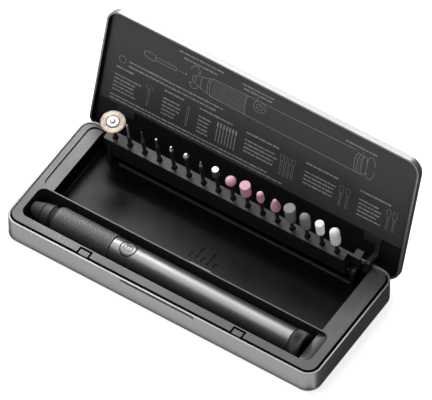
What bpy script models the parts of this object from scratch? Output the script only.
"""Electric nail drill kit: a flat hinged metal case that holds a drill pen, a folding rack and sixteen bits.

Blender 4.5 script, metres, +Z up. The origin is the middle of the case's underside. +X runs along the case
to the pen's speed dial, and +Y runs to the lid's hinge. The lid stands open and the rack stands up.
"""

import math

import bmesh
import bpy
from mathutils import Vector

MM = 0.001
GAP = 0.3 * MM                      # clearance between neighbouring pieces

# ---- case -------------------------------------------------------------------------------------------------
CASE_LENGTH = 216.0 * MM
CASE_DEPTH = 89.6 * MM
BASE_HEIGHT = 16.6 * MM
LID_HEIGHT = 4.9 * MM
CORNER_RADIUS = 9.0 * MM
BASE_WALL = 1.7 * MM
LID_WALL = 1.3 * MM
SHEET = 0.8 * MM                    # thickness of the metal floor of each shell
EDGE_ROUND = 1.0 * MM

HINGE_Y = 41.36 * MM
HINGE_Z = 11.9 * MM
LID_OPEN = math.radians(105.7)
HINGE_PIN_RADIUS = 0.8 * MM
HINGE_EYE_RADIUS = 1.45 * MM
ARM_INNER = 88.9 * MM               # the inner face of each hinge arm, from the middle of the case
ARM_THICKNESS = 3.0 * MM

# ---- plastic tray -----------------------------------------------------------------------------------------
TRAY_HALF_LENGTH = 105.3 * MM
TRAY_FRONT = -42.1 * MM
TRAY_BACK = 42.5 * MM
TRAY_BOTTOM = 1.1 * MM
TRAY_FLOOR = 1.8 * MM
CHANNEL_X = (-101.3 * MM, 99.2 * MM)
CHANNEL_Y = (-36.3 * MM, -12.9 * MM)
CHANNEL_CORNER = 5.0 * MM
RAMP_X = 91.4 * MM                   # face of the finger ramp behind the pen
RAMP_EDGE = 13.2 * MM
RAMP_TOP = 16.2 * MM
WELL_X = (-94.0 * MM, 92.8 * MM)
WELL_Y = (-12.0 * MM, 41.5 * MM)
LEDGE_X = (-102.0 * MM, 99.8 * MM)
LEDGE_DEPTH = 1.1 * MM
CATCH_X = 53.3 * MM
THUMB_LIP_HALF = 25.5 * MM

# ---- rack -------------------------------------------------------------------------------------------------
RACK_PIVOT_Y = 37.6 * MM
RACK_PIVOT_Z = 11.0 * MM
RACK_LEAN = math.radians(8.7)       # the standing rack leans towards the front
RACK_TOP = 14.5 * MM                # height of the top face above the pivot
RACK_BOTTOM = -2.0 * MM
RACK_FRONT = -3.55 * MM
RACK_BACK = 3.45 * MM
RACK_LEFT = -87.5 * MM
RACK_RIGHT = 79.3 * MM
STRIP_FRONT = 1.7 * MM
RACK_PIN_RADIUS = 1.0 * MM
LUG_X = {"left": -85.6 * MM, "right": 84.0 * MM}
LUG_THICKNESS = 2.6 * MM
LEFT_NOTCH = -83.2 * MM
BIT_COUNT = 16
BIT_PITCH = 10.3 * MM
FIRST_BIT_X = -81.3 * MM
SHANK_RADIUS = 1.175 * MM
SHANK_DEPTH = 13.0 * MM

# ---- pen --------------------------------------------------------------------------------------------------
PEN_Y = -24.6 * MM
PEN_Z = 10.7 * MM
GRIP_START = -83.3 * MM
GRIP_END = -43.2 * MM
GRIP_RADIUS = 8.6 * MM
BARREL_RADIUS = 8.0 * MM
BARREL_BORE = 7.2 * MM
CORE_RADIUS = 7.0 * MM
CORE_BORE = 6.2 * MM
BARREL_END = 81.0 * MM
BUTTON_X = -32.8 * MM
BUTTON_RADIUS = 5.1 * MM

PEN_SIDES = 24
BIT_SIDES = 12


# ---- scene and helpers ------------------------------------------------------------------------------------
for old in list(bpy.data.objects):
    bpy.data.objects.remove(old, do_unlink=True)

PARTS = bpy.data.collections.new("electric_nail_drill")
CUTTERS = bpy.data.collections.new("cutters")
bpy.context.scene.collection.children.link(PARTS)
bpy.context.scene.collection.children.link(CUTTERS)


def material(name, colour, roughness, metallic):
    made = bpy.data.materials.new(name)
    made.use_nodes = True
    shader = made.node_tree.nodes["Principled BSDF"]
    shader.inputs["Base Color"].default_value = (*colour, 1.0)
    shader.inputs["Roughness"].default_value = roughness
    shader.inputs["Metallic"].default_value = metallic
    return made


SHELL_METAL = material("anodised_aluminium", (0.30, 0.30, 0.30), 0.45, 0.9)
TRAY_PLASTIC = material("tray_plastic", (0.10, 0.10, 0.10), 0.5, 0.0)
PANEL_PLASTIC = material("printed_panel", (0.06, 0.065, 0.065), 0.5, 0.0)
BLACK_PLASTIC = material("black_plastic", (0.02, 0.02, 0.02), 0.45, 0.0)
BARREL_METAL = material("barrel_aluminium", (0.20, 0.20, 0.20), 0.35, 0.95)
STEEL = material("steel", (0.6, 0.6, 0.6), 0.3, 1.0)
DARK_STEEL = material("dark_steel", (0.12, 0.12, 0.12), 0.35, 1.0)
RUBBER = material("black_rubber", (0.02, 0.02, 0.02), 0.8, 0.0)
PINK_STONE = material("pink_stone", (0.80, 0.42, 0.55), 0.85, 0.0)
GREY_RUBBER = material("grey_rubber", (0.32, 0.33, 0.33), 0.75, 0.0)
WHITE_FELT = material("white_felt", (0.9, 0.9, 0.88), 0.9, 0.0)
BRISTLE = material("bristle", (0.75, 0.68, 0.58), 0.9, 0.0)
CIRCUIT_GREEN = material("circuit_board_green", (0.02, 0.18, 0.07), 0.5, 0.0)
BATTERY_WRAP = material("battery_wrap", (0.05, 0.16, 0.35), 0.4, 0.0)


def add_object(name, mesh, surface, parent=None, collection=PARTS):
    """An object of this mesh, placed in its parent's own frame."""
    made = bpy.data.objects.new(name, mesh)
    if surface:
        mesh.materials.append(surface)
    made.parent = parent
    collection.objects.link(made)
    return made


def empty(name, location, rotation=(0.0, 0.0, 0.0), parent=None):
    made = bpy.data.objects.new(name, None)
    made.location = location
    made.rotation_euler = rotation
    made.parent = parent
    made.empty_display_size = 0.01
    PARTS.objects.link(made)
    return made


def hide_cutter(cutter):
    cutter.hide_render = True
    cutter.display_type = "WIRE"
    return cutter


def block_mesh(name, low, high, corner=0.0, segments=4, round_top=0.0, round_bottom=0.0):
    """A block between two corners, with its upright edges rounded, and then its top or bottom edges."""
    shape = bmesh.new()
    bmesh.ops.create_cube(shape, size=1.0)
    middle = [(a + b) / 2 for a, b in zip(low, high)]
    size = [b - a for a, b in zip(low, high)]
    bmesh.ops.scale(shape, vec=size, verts=shape.verts)
    bmesh.ops.translate(shape, vec=middle, verts=shape.verts)
    if corner:
        upright = [e for e in shape.edges if abs(e.verts[0].co.z - e.verts[1].co.z) > size[2] / 2]
        bmesh.ops.bevel(
            shape, geom=upright, offset=corner, segments=segments, profile=0.5, affect="EDGES"
        )
    for height, radius in ((high[2], round_top), (low[2], round_bottom)):
        if radius:
            rim = [e for e in shape.edges if all(abs(v.co.z - height) < 1e-7 for v in e.verts)]
            bmesh.ops.bevel(shape, geom=rim, offset=radius, segments=2, profile=0.5, affect="EDGES")
    mesh = bpy.data.meshes.new(name)
    shape.to_mesh(mesh)
    shape.free()
    return mesh


def block(name, low, high, surface, parent=None, **rounding):
    return add_object(name, block_mesh(name, low, high, **rounding), surface, parent)


def cylinder_mesh(name, radius, length, sides):
    """A cylinder about the local Z axis, centred on the origin."""
    shape = bmesh.new()
    bmesh.ops.create_cone(
        shape, cap_ends=True, segments=sides, radius1=radius, radius2=radius, depth=length
    )
    mesh = bpy.data.meshes.new(name)
    shape.to_mesh(mesh)
    shape.free()
    return mesh


def rod(name, radius, x_low, x_high, y, z, surface, parent=None, sides=12, collection=PARTS):
    """A round rod along X between two stations."""
    made = add_object(name, cylinder_mesh(name, radius, x_high - x_low, sides), surface, parent, collection)
    made.location = ((x_low + x_high) / 2, y, z)
    made.rotation_euler = (0.0, math.radians(90.0), 0.0)
    return made


def turned(name, outline, surface, parent=None, sides=PEN_SIDES, collection=PARTS):
    """A turned shape about the local Z axis. The outline holds (height, radius) points, from the top down the
    outer side, and where the shape is a tube it comes back up the inner side to where it began."""
    tube = outline[0][1] > 0.0
    mesh = bpy.data.meshes.new(name)
    points = [(radius, 0.0, height) for height, radius in outline]
    edges = [(i, i + 1) for i in range(len(points) - 1)]
    if tube:
        edges.append((len(points) - 1, 0))
    mesh.from_pydata(points, edges, [])
    made = add_object(name, mesh, surface, parent, collection)
    screw = made.modifiers.new("turn", "SCREW")
    screw.axis = "Z"
    screw.steps = sides
    screw.render_steps = sides
    screw.use_merge_vertices = True
    screw.merge_threshold = 1e-5
    screw.use_smooth_shade = True
    return made


def outline_plate(name, loops, thickness, surface, parent=None):
    """A flat plate from closed loops of points, the first its edge and the others its holes."""
    curve = bpy.data.curves.new(name, "CURVE")
    curve.dimensions = "2D"
    curve.fill_mode = "BOTH"
    curve.extrude = thickness / 2
    for loop in loops:
        spline = curve.splines.new("POLY")
        spline.points.add(len(loop) - 1)
        for point, (u, v) in zip(spline.points, loop):
            point.co = (u, v, 0.0, 1.0)
        spline.use_cyclic_u = True
    guide = bpy.data.objects.new(name + "_outline", curve)
    CUTTERS.objects.link(guide)
    bpy.context.view_layer.update()
    mesh = bpy.data.meshes.new_from_object(guide.evaluated_get(bpy.context.evaluated_depsgraph_get()))
    bpy.data.objects.remove(guide, do_unlink=True)
    shape = bmesh.new()
    shape.from_mesh(mesh)
    bmesh.ops.remove_doubles(shape, verts=shape.verts, dist=1e-6)
    shape.to_mesh(mesh)
    shape.free()
    return add_object(name, mesh, surface, parent)


def change(target, other, operation="DIFFERENCE"):
    """Cuts another object away from this one, joins it on, or keeps what they share."""
    step = target.modifiers.new(operation.lower() + "_" + other.name, "BOOLEAN")
    step.operation = operation
    step.solver = "EXACT"
    step.object = hide_cutter(other)
    return other


def block_cut(target, name, low, high, parent=None, operation="DIFFERENCE", **rounding):
    cutter = add_object(name, block_mesh(name, low, high, **rounding), None, parent, CUTTERS)
    return change(target, cutter, operation)


def rod_cut(target, name, radius, x_low, x_high, y, z, parent=None, sides=12):
    return change(target, rod(name, radius, x_low, x_high, y, z, None, parent, sides, CUTTERS))


def arc(centre, radius, start, end, count):
    """Points along an arc, from one angle to another in degrees."""
    turns = [math.radians(start + (end - start) * i / (count - 1)) for i in range(count)]
    return [(centre[0] + radius * math.cos(t), centre[1] + radius * math.sin(t)) for t in turns]


def mirrored(low, high, side):
    """A block's corners, carried to the left of the middle where side is -1."""
    if side > 0:
        return low, high
    return (-high[0], low[1], low[2]), (-low[0], high[1], high[2])


SIDES = (("left", -1), ("right", 1))
HALF_LENGTH = CASE_LENGTH / 2
HALF_DEPTH = CASE_DEPTH / 2


# ---- base shell -------------------------------------------------------------------------------------------
def make_base():
    shell = block(
        "base_shell",
        (-HALF_LENGTH, -HALF_DEPTH, 0.0),
        (HALF_LENGTH, HALF_DEPTH, BASE_HEIGHT),
        SHELL_METAL,
        corner=CORNER_RADIUS,
        segments=6,
        round_bottom=EDGE_ROUND,
    )
    block_cut(
        shell,
        "base_hollow",
        (-HALF_LENGTH + BASE_WALL, -HALF_DEPTH + BASE_WALL, SHEET),
        (HALF_LENGTH - BASE_WALL, HALF_DEPTH - BASE_WALL + 0.1 * MM, BASE_HEIGHT * 2),
        corner=CORNER_RADIUS - BASE_WALL,
        segments=6,
    )
    # The thumb lip stands a little proud of the front wall, over a shallow slot.
    lip_height = 1.6 * MM
    block_cut(
        shell,
        "thumb_slot",
        (-THUMB_LIP_HALF, -HALF_DEPTH - 1.0 * MM, BASE_HEIGHT - lip_height - 1.3 * MM),
        (THUMB_LIP_HALF, -HALF_DEPTH + 0.8 * MM, BASE_HEIGHT - lip_height),
    )
    block_cut(
        shell,
        "thumb_lip",
        (-THUMB_LIP_HALF + 0.6 * MM, -HALF_DEPTH - 0.6 * MM, BASE_HEIGHT - lip_height),
        (THUMB_LIP_HALF - 0.6 * MM, -HALF_DEPTH + 0.4 * MM, BASE_HEIGHT - 0.2 * MM),
        operation="UNION",
    )


# ---- plastic tray -----------------------------------------------------------------------------------------
def make_tray():
    tray = block(
        "inner_tray",
        (-TRAY_HALF_LENGTH, TRAY_FRONT, TRAY_BOTTOM),
        (TRAY_HALF_LENGTH, TRAY_BACK, BASE_HEIGHT),
        TRAY_PLASTIC,
        corner=6.4 * MM,
        segments=5,
    )
    above = BASE_HEIGHT + 5.0 * MM
    # Pen channel, with a finger ramp left standing at its right end.
    channel = block_cut(
        tray,
        "pen_channel",
        (CHANNEL_X[0], CHANNEL_Y[0], TRAY_FLOOR),
        (CHANNEL_X[1], CHANNEL_Y[1], above),
        corner=CHANNEL_CORNER,
        segments=4,
    )
    ramp_end = CHANNEL_X[1] + MM
    ramp = outline_plate(
        "finger_ramp",
        [[(RAMP_X, 0.0), (ramp_end, 0.0), (ramp_end, RAMP_TOP), (CHANNEL_X[1] - MM, RAMP_TOP - 0.5 * MM),
          (RAMP_X + 3.5 * MM, RAMP_EDGE + 0.9 * MM), (RAMP_X, RAMP_EDGE)]],
        60.0 * MM,
        None,
    )
    PARTS.objects.unlink(ramp)
    CUTTERS.objects.link(ramp)
    ramp.rotation_euler = (math.radians(90.0), 0.0, 0.0)
    ramp.location = (0.0, PEN_Y, 0.0)
    change(channel, ramp)
    # Shallow ledge around the accessory well, and the well itself.
    block_cut(
        tray,
        "ledge_recess",
        (LEDGE_X[0], WELL_Y[0], BASE_HEIGHT - LEDGE_DEPTH),
        (LEDGE_X[1], WELL_Y[1], above),
        corner=5.0 * MM,
        segments=4,
    )
    block_cut(
        tray,
        "accessory_well",
        (WELL_X[0], WELL_Y[0] + 0.02 * MM, TRAY_FLOOR),
        (WELL_X[1], WELL_Y[1] - 0.02 * MM, above),
        corner=1.0 * MM,
        segments=2,
    )
    for side_name, side in SIDES:
        # Slot through the back wall for the hinge arm, and the hinge pin's hole across it.
        low, high = mirrored(
            (ARM_INNER - 0.8 * MM, 28.0 * MM, TRAY_FLOOR + 0.01 * MM),
            (ARM_INNER + ARM_THICKNESS + 0.8 * MM, TRAY_BACK + MM, above),
            side,
        )
        block_cut(tray, "arm_slot_" + side_name, low, high)
        ends = sorted((side * 87.0 * MM, side * 96.0 * MM))
        rod_cut(tray, "hinge_pin_hole_" + side_name, 1.1 * MM, *ends, HINGE_Y, HINGE_Z)
        # Upright lug that carries the rack's pin.
        lug_x = LUG_X[side_name]
        lug = outline_plate(
            "rack_lug_" + side_name,
            [
                [(RACK_PIVOT_Y + 3.4 * MM, TRAY_FLOOR - 0.3 * MM)]
                + arc((RACK_PIVOT_Y, RACK_PIVOT_Z), 3.4 * MM, 0.0, 180.0, 9)
                + [(RACK_PIVOT_Y - 3.4 * MM, TRAY_FLOOR - 0.3 * MM)]
            ],
            LUG_THICKNESS,
            None,
        )
        PARTS.objects.unlink(lug)
        CUTTERS.objects.link(lug)
        lug.rotation_euler = (math.radians(90.0), 0.0, math.radians(90.0))
        lug.location = (lug_x, 0.0, 0.0)
        change(tray, lug, "UNION")
        rod_cut(
            tray,
            "rack_pin_hole_" + side_name,
            RACK_PIN_RADIUS + GAP,
            lug_x - LUG_THICKNESS,
            lug_x + LUG_THICKNESS,
            RACK_PIVOT_Y,
            RACK_PIVOT_Z,
        )
        # Pocket in the front lip for the catch that the lid snaps over.
        block_cut(
            tray,
            "catch_pocket_" + side_name,
            (side * CATCH_X - 4.3 * MM, TRAY_FRONT - MM, 6.0 * MM),
            (side * CATCH_X + 4.3 * MM, -37.5 * MM, above),
        )
        block(
            "lid_catch_" + side_name,
            (side * CATCH_X - 3.5 * MM, -42.6 * MM, 6.4 * MM),
            (side * CATCH_X + 3.5 * MM, -38.2 * MM, BASE_HEIGHT - 0.1 * MM),
            BLACK_PLASTIC,
        )
        ends = sorted((side * 87.3 * MM, side * 95.6 * MM))
        rod("hinge_pin_" + side_name, HINGE_PIN_RADIUS, *ends, HINGE_Y, HINGE_Z, STEEL)
        ends = sorted((lug_x + side * (LUG_THICKNESS / 2 + 0.2 * MM), lug_x - side * 7.0 * MM))
        rod("rack_pin_" + side_name, RACK_PIN_RADIUS, *ends, RACK_PIVOT_Y, RACK_PIVOT_Z, STEEL)


# ---- lid --------------------------------------------------------------------------------------------------
# The lid is laid out shut, then its empty on the hinge axis swings it open.
LID_BOTTOM = BASE_HEIGHT + GAP
LID_TOP = LID_BOTTOM + LID_HEIGHT
PANEL_TOP = LID_TOP - SHEET - GAP
PANEL_THICKNESS = 0.4 * MM
PANEL_BACK = 21.5 * MM


def in_lid(low, high):
    """A block's corners, from the shut case's frame to the hinge's own frame."""
    return tuple(
        (x, y - HINGE_Y, z - HINGE_Z) for x, y, z in (low, high)
    )


def make_lid():
    hinge = empty("lid_hinge_axis", (0.0, HINGE_Y, HINGE_Z), (-LID_OPEN, 0.0, 0.0))
    low, high = in_lid((-HALF_LENGTH, -HALF_DEPTH, LID_BOTTOM), (HALF_LENGTH, HALF_DEPTH, LID_TOP))
    shell = block(
        "lid_shell",
        low,
        high,
        SHELL_METAL,
        hinge,
        corner=CORNER_RADIUS,
        segments=6,
        round_top=EDGE_ROUND,
    )
    low, high = in_lid(
        (-HALF_LENGTH + LID_WALL, -HALF_DEPTH + LID_WALL, LID_BOTTOM - 5.0 * MM),
        (HALF_LENGTH - LID_WALL, HALF_DEPTH - LID_WALL, LID_TOP - SHEET),
    )
    block_cut(shell, "lid_hollow", low, high, hinge, corner=CORNER_RADIUS - LID_WALL, segments=6)
    # Relief under the back of the lid's rim, where the base's rim passes as the lid turns.
    reach = math.hypot(HALF_DEPTH - HINGE_Y, BASE_HEIGHT - HINGE_Z)
    rod_cut(
        shell,
        "wall_relief",
        reach + 0.15 * MM,
        -HALF_LENGTH - MM,
        HALF_LENGTH + MM,
        0.0,
        0.0,
        hinge,
        sides=48,
    )
    panel_half = HALF_LENGTH - LID_WALL - 1.2 * MM
    low, high = in_lid(
        (-panel_half, -HALF_DEPTH + LID_WALL + 1.0 * MM, PANEL_TOP - PANEL_THICKNESS),
        (panel_half, PANEL_BACK + 10.0 * MM, PANEL_TOP),
    )
    panel = block("lid_panel", low, high, PANEL_PLASTIC, hinge, corner=6.5 * MM, segments=4)
    low, high = in_lid((-HALF_LENGTH, PANEL_BACK, LID_BOTTOM), (HALF_LENGTH, HALF_DEPTH, LID_TOP))
    block_cut(panel, "panel_back_edge", low, high, hinge)
    low, high = in_lid(
        (-panel_half, PANEL_BACK - 10.0 * MM, PANEL_TOP - PANEL_THICKNESS),
        (panel_half, HALF_DEPTH - LID_WALL - 0.5 * MM, PANEL_TOP),
    )
    cover = block("lid_hinge_cover", low, high, BLACK_PLASTIC, hinge, corner=6.5 * MM, segments=4)
    low, high = in_lid(
        (-HALF_LENGTH, -HALF_DEPTH, LID_BOTTOM), (HALF_LENGTH, PANEL_BACK + GAP, LID_TOP)
    )
    block_cut(cover, "cover_front_edge", low, high, hinge)
    for side_name, side in SIDES:
        make_hinge_arm(side_name, side, hinge)


def make_hinge_arm(side_name, side, hinge):
    """A goose-neck plate: an eye on the pin, a bar forward under the wall's path, then a riser to the lid."""
    foot = PANEL_TOP - PANEL_THICKNESS - GAP - HINGE_Z
    neck_back = -6.3 * MM
    neck_front = -9.1 * MM
    bar_top = -0.1 * MM
    bar_bottom = -3.0 * MM
    edge = (
        [(neck_back, foot), (neck_front, foot), (neck_front, bar_bottom + 1.4 * MM)]
        + [(neck_front + 1.4 * MM, bar_bottom), (-1.2 * MM, bar_bottom)]
        + arc((0.0, 0.0), HINGE_EYE_RADIUS, -90.0, 140.0, 10)
        + [(-1.6 * MM, bar_top), (neck_back, bar_top)]
    )
    hole = arc((0.0, 0.0), HINGE_PIN_RADIUS + GAP * 0.8, 0.0, 330.0, 12)
    arm = outline_plate("hinge_arm_" + side_name, [edge, hole], ARM_THICKNESS, BLACK_PLASTIC, hinge)
    arm.rotation_euler = (math.radians(90.0), 0.0, math.radians(90.0))
    arm.location = (side * (ARM_INNER + ARM_THICKNESS / 2), 0.0, 0.0)
    pad_front = 21.5 * MM - HINGE_Y
    low, high = mirrored(
        (ARM_INNER - 8.9 * MM, pad_front, foot - 0.9 * MM),
        (ARM_INNER + ARM_THICKNESS, pad_front + 5.0 * MM, foot),
        side,
    )
    block_cut(arm, "arm_pad_" + side_name, low, high, hinge, "UNION")
    low, high = mirrored(
        (ARM_INNER, pad_front + 4.0 * MM, foot - 0.9 * MM),
        (ARM_INNER + ARM_THICKNESS, neck_front + MM, foot),
        side,
    )
    block_cut(arm, "arm_strap_" + side_name, low, high, hinge, "UNION")


# ---- rack -------------------------------------------------------------------------------------------------
# The rack's own frame has its origin on the pivot, Y to its back and Z up along the bits.
def make_rack():
    pivot = empty("rack_pivot_axis", (0.0, RACK_PIVOT_Y, RACK_PIVOT_Z), (RACK_LEAN, 0.0, 0.0))
    bar = block(
        "rack_bar",
        (RACK_LEFT, RACK_FRONT, RACK_BOTTOM),
        (-RACK_LEFT, RACK_BACK, RACK_TOP),
        BLACK_PLASTIC,
        pivot,
    )
    # The right end is open in front of a thin back strip, and the left end is open below its top.
    block_cut(
        bar,
        "right_notch",
        (RACK_RIGHT, RACK_FRONT - MM, RACK_BOTTOM - MM),
        (-RACK_LEFT + MM, STRIP_FRONT, RACK_TOP + MM),
        pivot,
    )
    block_cut(
        bar,
        "right_strip_underside",
        (RACK_RIGHT, STRIP_FRONT - MM, RACK_BOTTOM - MM),
        (-RACK_LEFT + MM, RACK_BACK + MM, 5.6 * MM),
        pivot,
    )
    block_cut(
        bar,
        "left_notch",
        (RACK_LEFT - MM, RACK_FRONT - MM, RACK_BOTTOM - MM),
        (LEFT_NOTCH, RACK_BACK + MM, 5.6 * MM),
        pivot,
    )
    # The back of the bar is cut away low down, so that it clears the tray's back wall.
    block_cut(
        bar,
        "back_relief",
        (RACK_LEFT - MM, 2.2 * MM, RACK_BOTTOM - MM),
        (-RACK_LEFT + MM, RACK_BACK + MM, 4.5 * MM),
        pivot,
    )
    block_cut(
        bar,
        "stop_tab",
        (82.3 * MM, RACK_BACK - 0.5 * MM, RACK_TOP - 1.8 * MM),
        (87.2 * MM, 7.6 * MM, RACK_TOP),
        pivot,
        "UNION",
    )
    for side_name, side in SIDES:
        ends = sorted((LUG_X[side_name], LUG_X[side_name] - side * 7.3 * MM))
        rod_cut(bar, "bar_pin_hole_" + side_name, RACK_PIN_RADIUS + GAP, *ends, 0.0, 0.0, pivot)
    for place in range(BIT_COUNT):
        hole = turned(
            "bit_hole_" + str(place + 1),
            [
                (RACK_TOP + MM, 0.0),
                (RACK_TOP + MM, 1.75 * MM),
                (RACK_TOP - 1.2 * MM, 1.75 * MM),
                (RACK_TOP - 1.2 * MM, SHANK_RADIUS + GAP),
                (RACK_TOP - SHANK_DEPTH - 0.4 * MM, SHANK_RADIUS + GAP),
                (RACK_TOP - SHANK_DEPTH - 0.4 * MM, 0.0),
            ],
            None,
            pivot,
            BIT_SIDES,
            CUTTERS,
        )
        hole.location = (bit_x(place), 0.0, 0.0)
        change(bar, hole)
    make_bits(pivot)


def make_spring():
    """A torsion spring round the right pin: three turns, with a leg down to the tray and one up the bar."""
    wire_radius = 0.25 * MM
    coil_radius = 1.75 * MM
    steps = 12
    turns = 3
    start = RACK_RIGHT + 0.65 * MM
    pitch = 0.62 * MM
    points = []
    for i in range(steps * turns + 1):
        turn = 2.0 * math.pi * i / steps
        across = coil_radius * math.cos(turn)
        height = coil_radius * math.sin(turn)
        points.append(Vector((start + pitch * i / steps, RACK_PIVOT_Y + across, RACK_PIVOT_Z + height)))
    down = Vector((0.0, -2.0 * MM, -5.5 * MM))
    up = Vector((0.0, -1.0 * MM, 2.6 * MM))
    points = [points[0] + down] + points + [points[-1] + up]
    curve = bpy.data.curves.new("rack_spring", "CURVE")
    curve.dimensions = "3D"
    curve.bevel_depth = wire_radius
    curve.bevel_resolution = 2
    curve.use_fill_caps = True
    spline = curve.splines.new("POLY")
    spline.points.add(len(points) - 1)
    for point, place in zip(spline.points, points):
        point.co = (*place, 1.0)
    curve.materials.append(STEEL)
    PARTS.objects.link(bpy.data.objects.new("rack_spring", curve))


def bit_x(place):
    return FIRST_BIT_X + BIT_PITCH * place


# ---- bits -------------------------------------------------------------------------------------------------
# Heights along a bit are measured from the rack's top face, in millimetres.
def shank(top, neck_radius=1.175, neck_top=None):
    """The outline of a shank, from its top down to its foot in the rack."""
    neck_top = top if neck_top is None else neck_top
    return [
        (top, 0.0),
        (top, neck_radius),
        (neck_top - 1.5, neck_radius),
        (neck_top - 3.0, 1.175),
        (-12.6, 1.175),
        (-13.0, 0.8),
        (-13.0, 0.0),
    ]


def dome(top, radius, count=4):
    """A half ball's outline from its pole down to its widest ring."""
    turns = [math.radians(90.0 * i / count) for i in range(count + 1)]
    return [(top - radius + radius * math.cos(t), radius * math.sin(t)) for t in turns]


def ball(top, radius, neck, count=8):
    """A ball's outline from its pole down to where a neck of this radius meets it."""
    last = math.pi - math.asin(neck / radius)
    turns = [last * i / count for i in range(count + 1)]
    return [(top - radius + radius * math.cos(t), radius * math.sin(t)) for t in turns]


LOWER_SHANK = [(-12.6, 1.175), (-13.0, 0.8), (-13.0, 0.0)]

# One-piece metal burrs, as (name, outline above the plain shank).
METAL_BURRS = (
    ("twist_drill_bit", [(23.2, 0.0), (22.4, 0.75), (11.0, 0.75), (9.5, 1.175)]),
    ("needle_burr", [(23.4, 0.0), (23.2, 0.25), (13.0, 1.1), (11.5, 1.175)]),
    ("small_ball_burr", ball(24.0, 0.95, 0.55) + [(18.5, 0.6), (14.5, 1.175)]),
    ("neck_ball_burr", ball(23.6, 0.95, 0.6) + [(21.2, 0.6), (20.4, 1.15), (18.8, 1.15), (17.0, 1.175)]),
    ("ball_burr", ball(23.8, 1.95, 0.9) + [(18.6, 1.175)]),
    ("taper_burr", dome(24.0, 0.4) + [(22.2, 0.6), (20.2, 1.25), (18.8, 1.0), (17.5, 1.175)]),
    ("cylinder_burr", [(24.0, 0.0), (24.0, 1.9), (23.7, 2.15), (17.4, 2.15), (17.0, 1.175)]),
)

# Heads glued on a shank, as (name, material, head outline, height of the head's foot).
MOUNTED_HEADS = (
    ("pink_ball", PINK_STONE, ball(22.6, 3.25, 1.5), 16.2),
    ("pink_cylinder", PINK_STONE, [(23.4, 0.0), (23.4, 3.1), (23.2, 3.3), (14.3, 3.2), (13.9, 2.9)], 13.9),
    ("pink_bullet", PINK_STONE, dome(23.4, 2.1) + [(17.0, 2.35), (14.4, 1.9), (13.8, 1.3)], 13.8),
    ("pink_cone", PINK_STONE, dome(23.8, 1.4) + [(19.0, 2.5), (15.8, 3.1), (14.4, 2.9), (13.9, 2.2)], 13.9),
    ("rubber_cylinder", GREY_RUBBER, [(23.6, 0.0), (23.6, 3.3), (23.3, 3.55), (10.9, 3.1), (10.4, 2.7)], 10.4),
    ("rubber_bullet", GREY_RUBBER, dome(24.0, 3.1) + [(14.0, 3.15), (11.4, 2.9), (10.8, 2.4)], 10.8),
    ("felt_cylinder", WHITE_FELT, [(23.4, 0.0), (23.4, 2.5), (23.1, 2.75), (13.4, 2.5), (13.0, 2.1)], 13.0),
    ("felt_bullet", WHITE_FELT, dome(24.6, 3.1) + [(14.0, 3.2), (11.2, 3.0), (10.6, 2.5)], 10.6),
)

BRUSH_MIDDLE = 17.6
BRUSH_RADIUS = 7.7


def place_bit(name, outline, surface, place, pivot):
    """Turns an outline given in millimetres above the rack's top, at this place in the row."""
    points = [(RACK_TOP + height * MM, radius * MM) for height, radius in outline]
    made = turned(name, points, surface, pivot, BIT_SIDES)
    made.location = (bit_x(place), 0.0, 0.0)
    return made


def make_bits(pivot):
    # The wheel brush is a bristle disc clamped on a mandrel with a screw head above it.
    mandrel = [
        (BRUSH_MIDDLE + 1.9, 0.0),
        (BRUSH_MIDDLE + 1.7, 1.4),
        (BRUSH_MIDDLE + 0.9, 1.7),
        (BRUSH_MIDDLE + 0.9, 0.8),
        (BRUSH_MIDDLE - 1.1, 0.8),
        (BRUSH_MIDDLE - 1.1, 2.3),
        (BRUSH_MIDDLE - 1.9, 2.3),
        (BRUSH_MIDDLE - 2.6, 1.175),
    ] + LOWER_SHANK
    wheel = [
        (BRUSH_MIDDLE + 0.6, 1.1),
        (BRUSH_MIDDLE + 0.6, BRUSH_RADIUS - 0.4),
        (BRUSH_MIDDLE, BRUSH_RADIUS),
        (BRUSH_MIDDLE - 0.8, BRUSH_RADIUS - 0.4),
        (BRUSH_MIDDLE - 0.8, 1.1),
    ]
    place_bit("wheel_brush_mandrel", mandrel, DARK_STEEL, 0, pivot)
    place_bit("wheel_brush_disc", wheel, BRISTLE, 0, pivot)
    for number, (name, outline) in enumerate(METAL_BURRS):
        place_bit(name, outline + LOWER_SHANK, DARK_STEEL, 1 + number, pivot)
    for number, (name, surface, outline, foot) in enumerate(MOUNTED_HEADS):
        # The head is a cup over the top of its shank, which stands in it with a little clearance.
        socket = [(foot, 1.0), (foot + 4.5, 1.0), (foot + 4.5, 0.0)]
        place = 1 + len(METAL_BURRS) + number
        place_bit(name + "_head", outline + socket, surface, place, pivot)
        spigot = [(foot + 4.1, 0.0), (foot + 4.1, 0.7), (foot - 0.4, 0.7), (foot - 0.4, 1.175)]
        place_bit(name + "_shank", spigot + LOWER_SHANK, DARK_STEEL, place, pivot)


# ---- pen --------------------------------------------------------------------------------------------------
# The pen's own frame has Z along the pen to its tail, so its heights are stations along the case.
def tube(outer, inner):
    """A tube's outline from two lists of (station, radius), both given from the nose to the tail."""
    return list(reversed(outer)) + list(inner)


def station(*pairs):
    """Outline points from pairs given in millimetres."""
    return [(x * MM, radius * MM) for x, radius in pairs]


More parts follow.
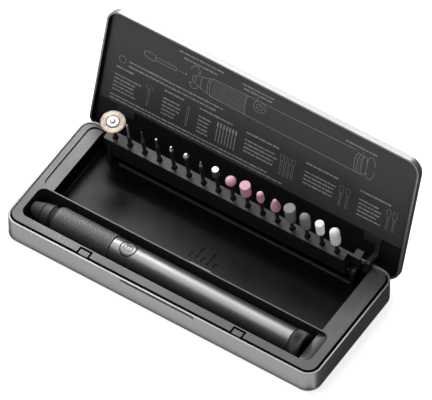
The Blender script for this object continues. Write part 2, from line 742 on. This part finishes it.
def make_pen():
    frame = empty("pen_axis", (0.0, PEN_Y, PEN_Z), (0.0, math.radians(90.0), 0.0))
    barrel = turned(
        "pen_barrel",
        tube(
            [
                (GRIP_START + 1.5 * MM, CORE_RADIUS),
                (GRIP_END, CORE_RADIUS),
                (GRIP_END, BARREL_RADIUS - 0.2 * MM),
                (GRIP_END + 0.3 * MM, BARREL_RADIUS),
                (BARREL_END, BARREL_RADIUS),
            ],
            [
                (GRIP_START + 1.5 * MM, CORE_BORE),
                (GRIP_END + MM, CORE_BORE),
                (GRIP_END + MM, BARREL_BORE),
                (BARREL_END, BARREL_BORE),
            ],
        ),
        BARREL_METAL,
        frame,
    )
    button_hole = add_object(
        "button_hole", cylinder_mesh("button_hole", BUTTON_RADIUS + GAP, 8.0 * MM, 24), None, None, CUTTERS
    )
    button_hole.location = (BUTTON_X, PEN_Y, PEN_Z + 8.0 * MM)
    change(barrel, button_hole)
    turned(
        "grip_sleeve",
        tube(
            [
                (GRIP_START, GRIP_RADIUS - 1.4 * MM),
                (GRIP_START + 0.3 * MM, GRIP_RADIUS - MM),
                (GRIP_START + 2.6 * MM, GRIP_RADIUS),
                (GRIP_END - 0.9 * MM, GRIP_RADIUS),
                (GRIP_END - GAP, GRIP_RADIUS - 0.5 * MM),
            ],
            [
                (GRIP_START, 5.4 * MM),
                (GRIP_START + 1.2 * MM, 5.4 * MM),
                (GRIP_START + 1.2 * MM, CORE_RADIUS + GAP),
                (GRIP_END - GAP, CORE_RADIUS + GAP),
            ],
        ),
        RUBBER,
        frame,
    )
    make_nose(frame)
    make_drive(frame)
    make_tail(frame)
    # The button is the piece of a tube that an upright cylinder cuts out, so its top follows the barrel.
    button = turned(
        "power_button",
        tube(
            [(BUTTON_X - 8.0 * MM, BARREL_RADIUS + 0.15 * MM), (BUTTON_X + 8.0 * MM, BARREL_RADIUS + 0.15 * MM)],
            [(BUTTON_X - 8.0 * MM, 6.8 * MM), (BUTTON_X + 8.0 * MM, 6.8 * MM)],
        ),
        BARREL_METAL,
        frame,
    )
    button_edge = add_object(
        "button_edge", cylinder_mesh("button_edge", BUTTON_RADIUS, 8.0 * MM, 24), None, None, CUTTERS
    )
    button_edge.location = (BUTTON_X, PEN_Y, PEN_Z + 8.0 * MM)
    change(button, button_edge, "INTERSECT")


def make_nose(frame):
    turned("nose_seal", tube(station((-85.7, 6.3), (-83.6, 6.3)), station((-85.7, 5.0), (-83.6, 5.0))), RUBBER, frame)
    turned(
        "nose_cone",
        tube(
            station((-91.8, 5.9), (-91.5, 6.2), (-86.7, 7.0), (-86.0, 6.7)),
            station((-91.8, 4.3), (-89.5, 4.3), (-89.5, 3.6), (-86.0, 3.6)),
        ),
        BLACK_PLASTIC,
        frame,
    )
    turned(
        "chuck_nut",
        tube(
            station((-99.7, 3.3), (-99.3, 3.9), (-92.4, 6.0), (-92.1, 5.8), (-92.1, 3.9), (-90.0, 3.9)),
            station((-99.7, 1.5), (-97.4, 1.5), (-96.4, 2.4), (-90.0, 2.4)),
        ),
        BLACK_PLASTIC,
        frame,
    )
    turned(
        "collet",
        tube(station((-97.0, 1.5), (-96.2, 2.1), (-91.3, 2.1)), station((-97.0, 1.2), (-91.3, 1.2))),
        STEEL,
        frame,
        sides=16,
    )
    turned(
        "spindle",
        tube(
            station((-90.9, 2.0), (-84.2, 2.0), (-84.2, 2.5), (-79.8, 2.5)),
            station((-90.9, 1.2), (-82.0, 1.2), (-82.0, 1.0), (-79.8, 1.0)),
        ),
        STEEL,
        frame,
        sides=16,
    )
    turned(
        "front_bearing",
        tube(station((-83.4, 4.6), (-80.4, 4.6)), station((-83.4, 2.8), (-80.4, 2.8))),
        STEEL,
        frame,
    )


def make_drive(frame):
    motor = station(
        (-48.0, 0.0), (-48.0, 5.6), (-48.4, 5.8), (-76.6, 5.8), (-77.0, 5.4), (-77.0, 2.6), (-78.6, 2.6)
    ) + station((-78.6, 0.7), (-82.6, 0.7), (-82.6, 0.0))
    turned("motor", motor, STEEL, frame)
    block(
        "circuit_board",
        (-40.5 * MM, PEN_Y - 5.4 * MM, PEN_Z + 1.4 * MM),
        (-15.0 * MM, PEN_Y + 5.4 * MM, PEN_Z + 2.4 * MM),
        CIRCUIT_GREEN,
    )
    block(
        "button_switch",
        (BUTTON_X - 2.2 * MM, PEN_Y - 2.2 * MM, PEN_Z + 2.7 * MM),
        (BUTTON_X + 2.2 * MM, PEN_Y + 2.2 * MM, PEN_Z + 5.6 * MM),
        BLACK_PLASTIC,
    )
    battery = station((41.0, 0.0), (41.0, 2.4), (40.2, 2.4), (40.2, 6.5), (39.8, 6.8), (-11.6, 6.8))
    turned("battery", battery + station((-12.0, 6.4), (-12.0, 0.0)), BATTERY_WRAP, frame)


def make_tail(frame):
    control = station((72.0, 0.0), (72.0, 2.2), (70.0, 2.2), (70.0, 6.6), (58.0, 6.6), (58.0, 0.0))
    turned("speed_control", control, DARK_STEEL, frame)
    turned(
        "speed_dial",
        tube(
            station((81.4, 8.1), (81.8, 8.5), (88.7, 8.5), (89.3, 7.9)),
            station((81.4, 6.3), (89.3, 6.3)),
        ),
        BLACK_PLASTIC,
        frame,
        sides=30,
    )
    cap = turned(
        "tail_cap",
        station((89.0, 0.0), (89.0, 5.7), (88.7, 6.0), (80.8, 6.0), (80.8, 6.9), (73.0, 6.9), (73.0, 0.0)),
        BLACK_PLASTIC,
        frame,
    )
    block_cut(
        cap,
        "port_slot",
        (82.0 * MM, PEN_Y - 4.9 * MM, PEN_Z - 2.0 * MM),
        (90.0 * MM, PEN_Y + 4.9 * MM, PEN_Z + 2.0 * MM),
    )
    port = block(
        "charge_port",
        (82.3 * MM, PEN_Y - 4.55 * MM, PEN_Z - 1.65 * MM),
        (88.8 * MM, PEN_Y + 4.55 * MM, PEN_Z + 1.65 * MM),
        STEEL,
    )
    block_cut(
        port,
        "port_mouth",
        (84.0 * MM, PEN_Y - 4.15 * MM, PEN_Z - 1.25 * MM),
        (90.0 * MM, PEN_Y + 4.15 * MM, PEN_Z + 1.25 * MM),
    )


make_base()
make_tray()
make_lid()
make_rack()
make_spring()
make_pen()
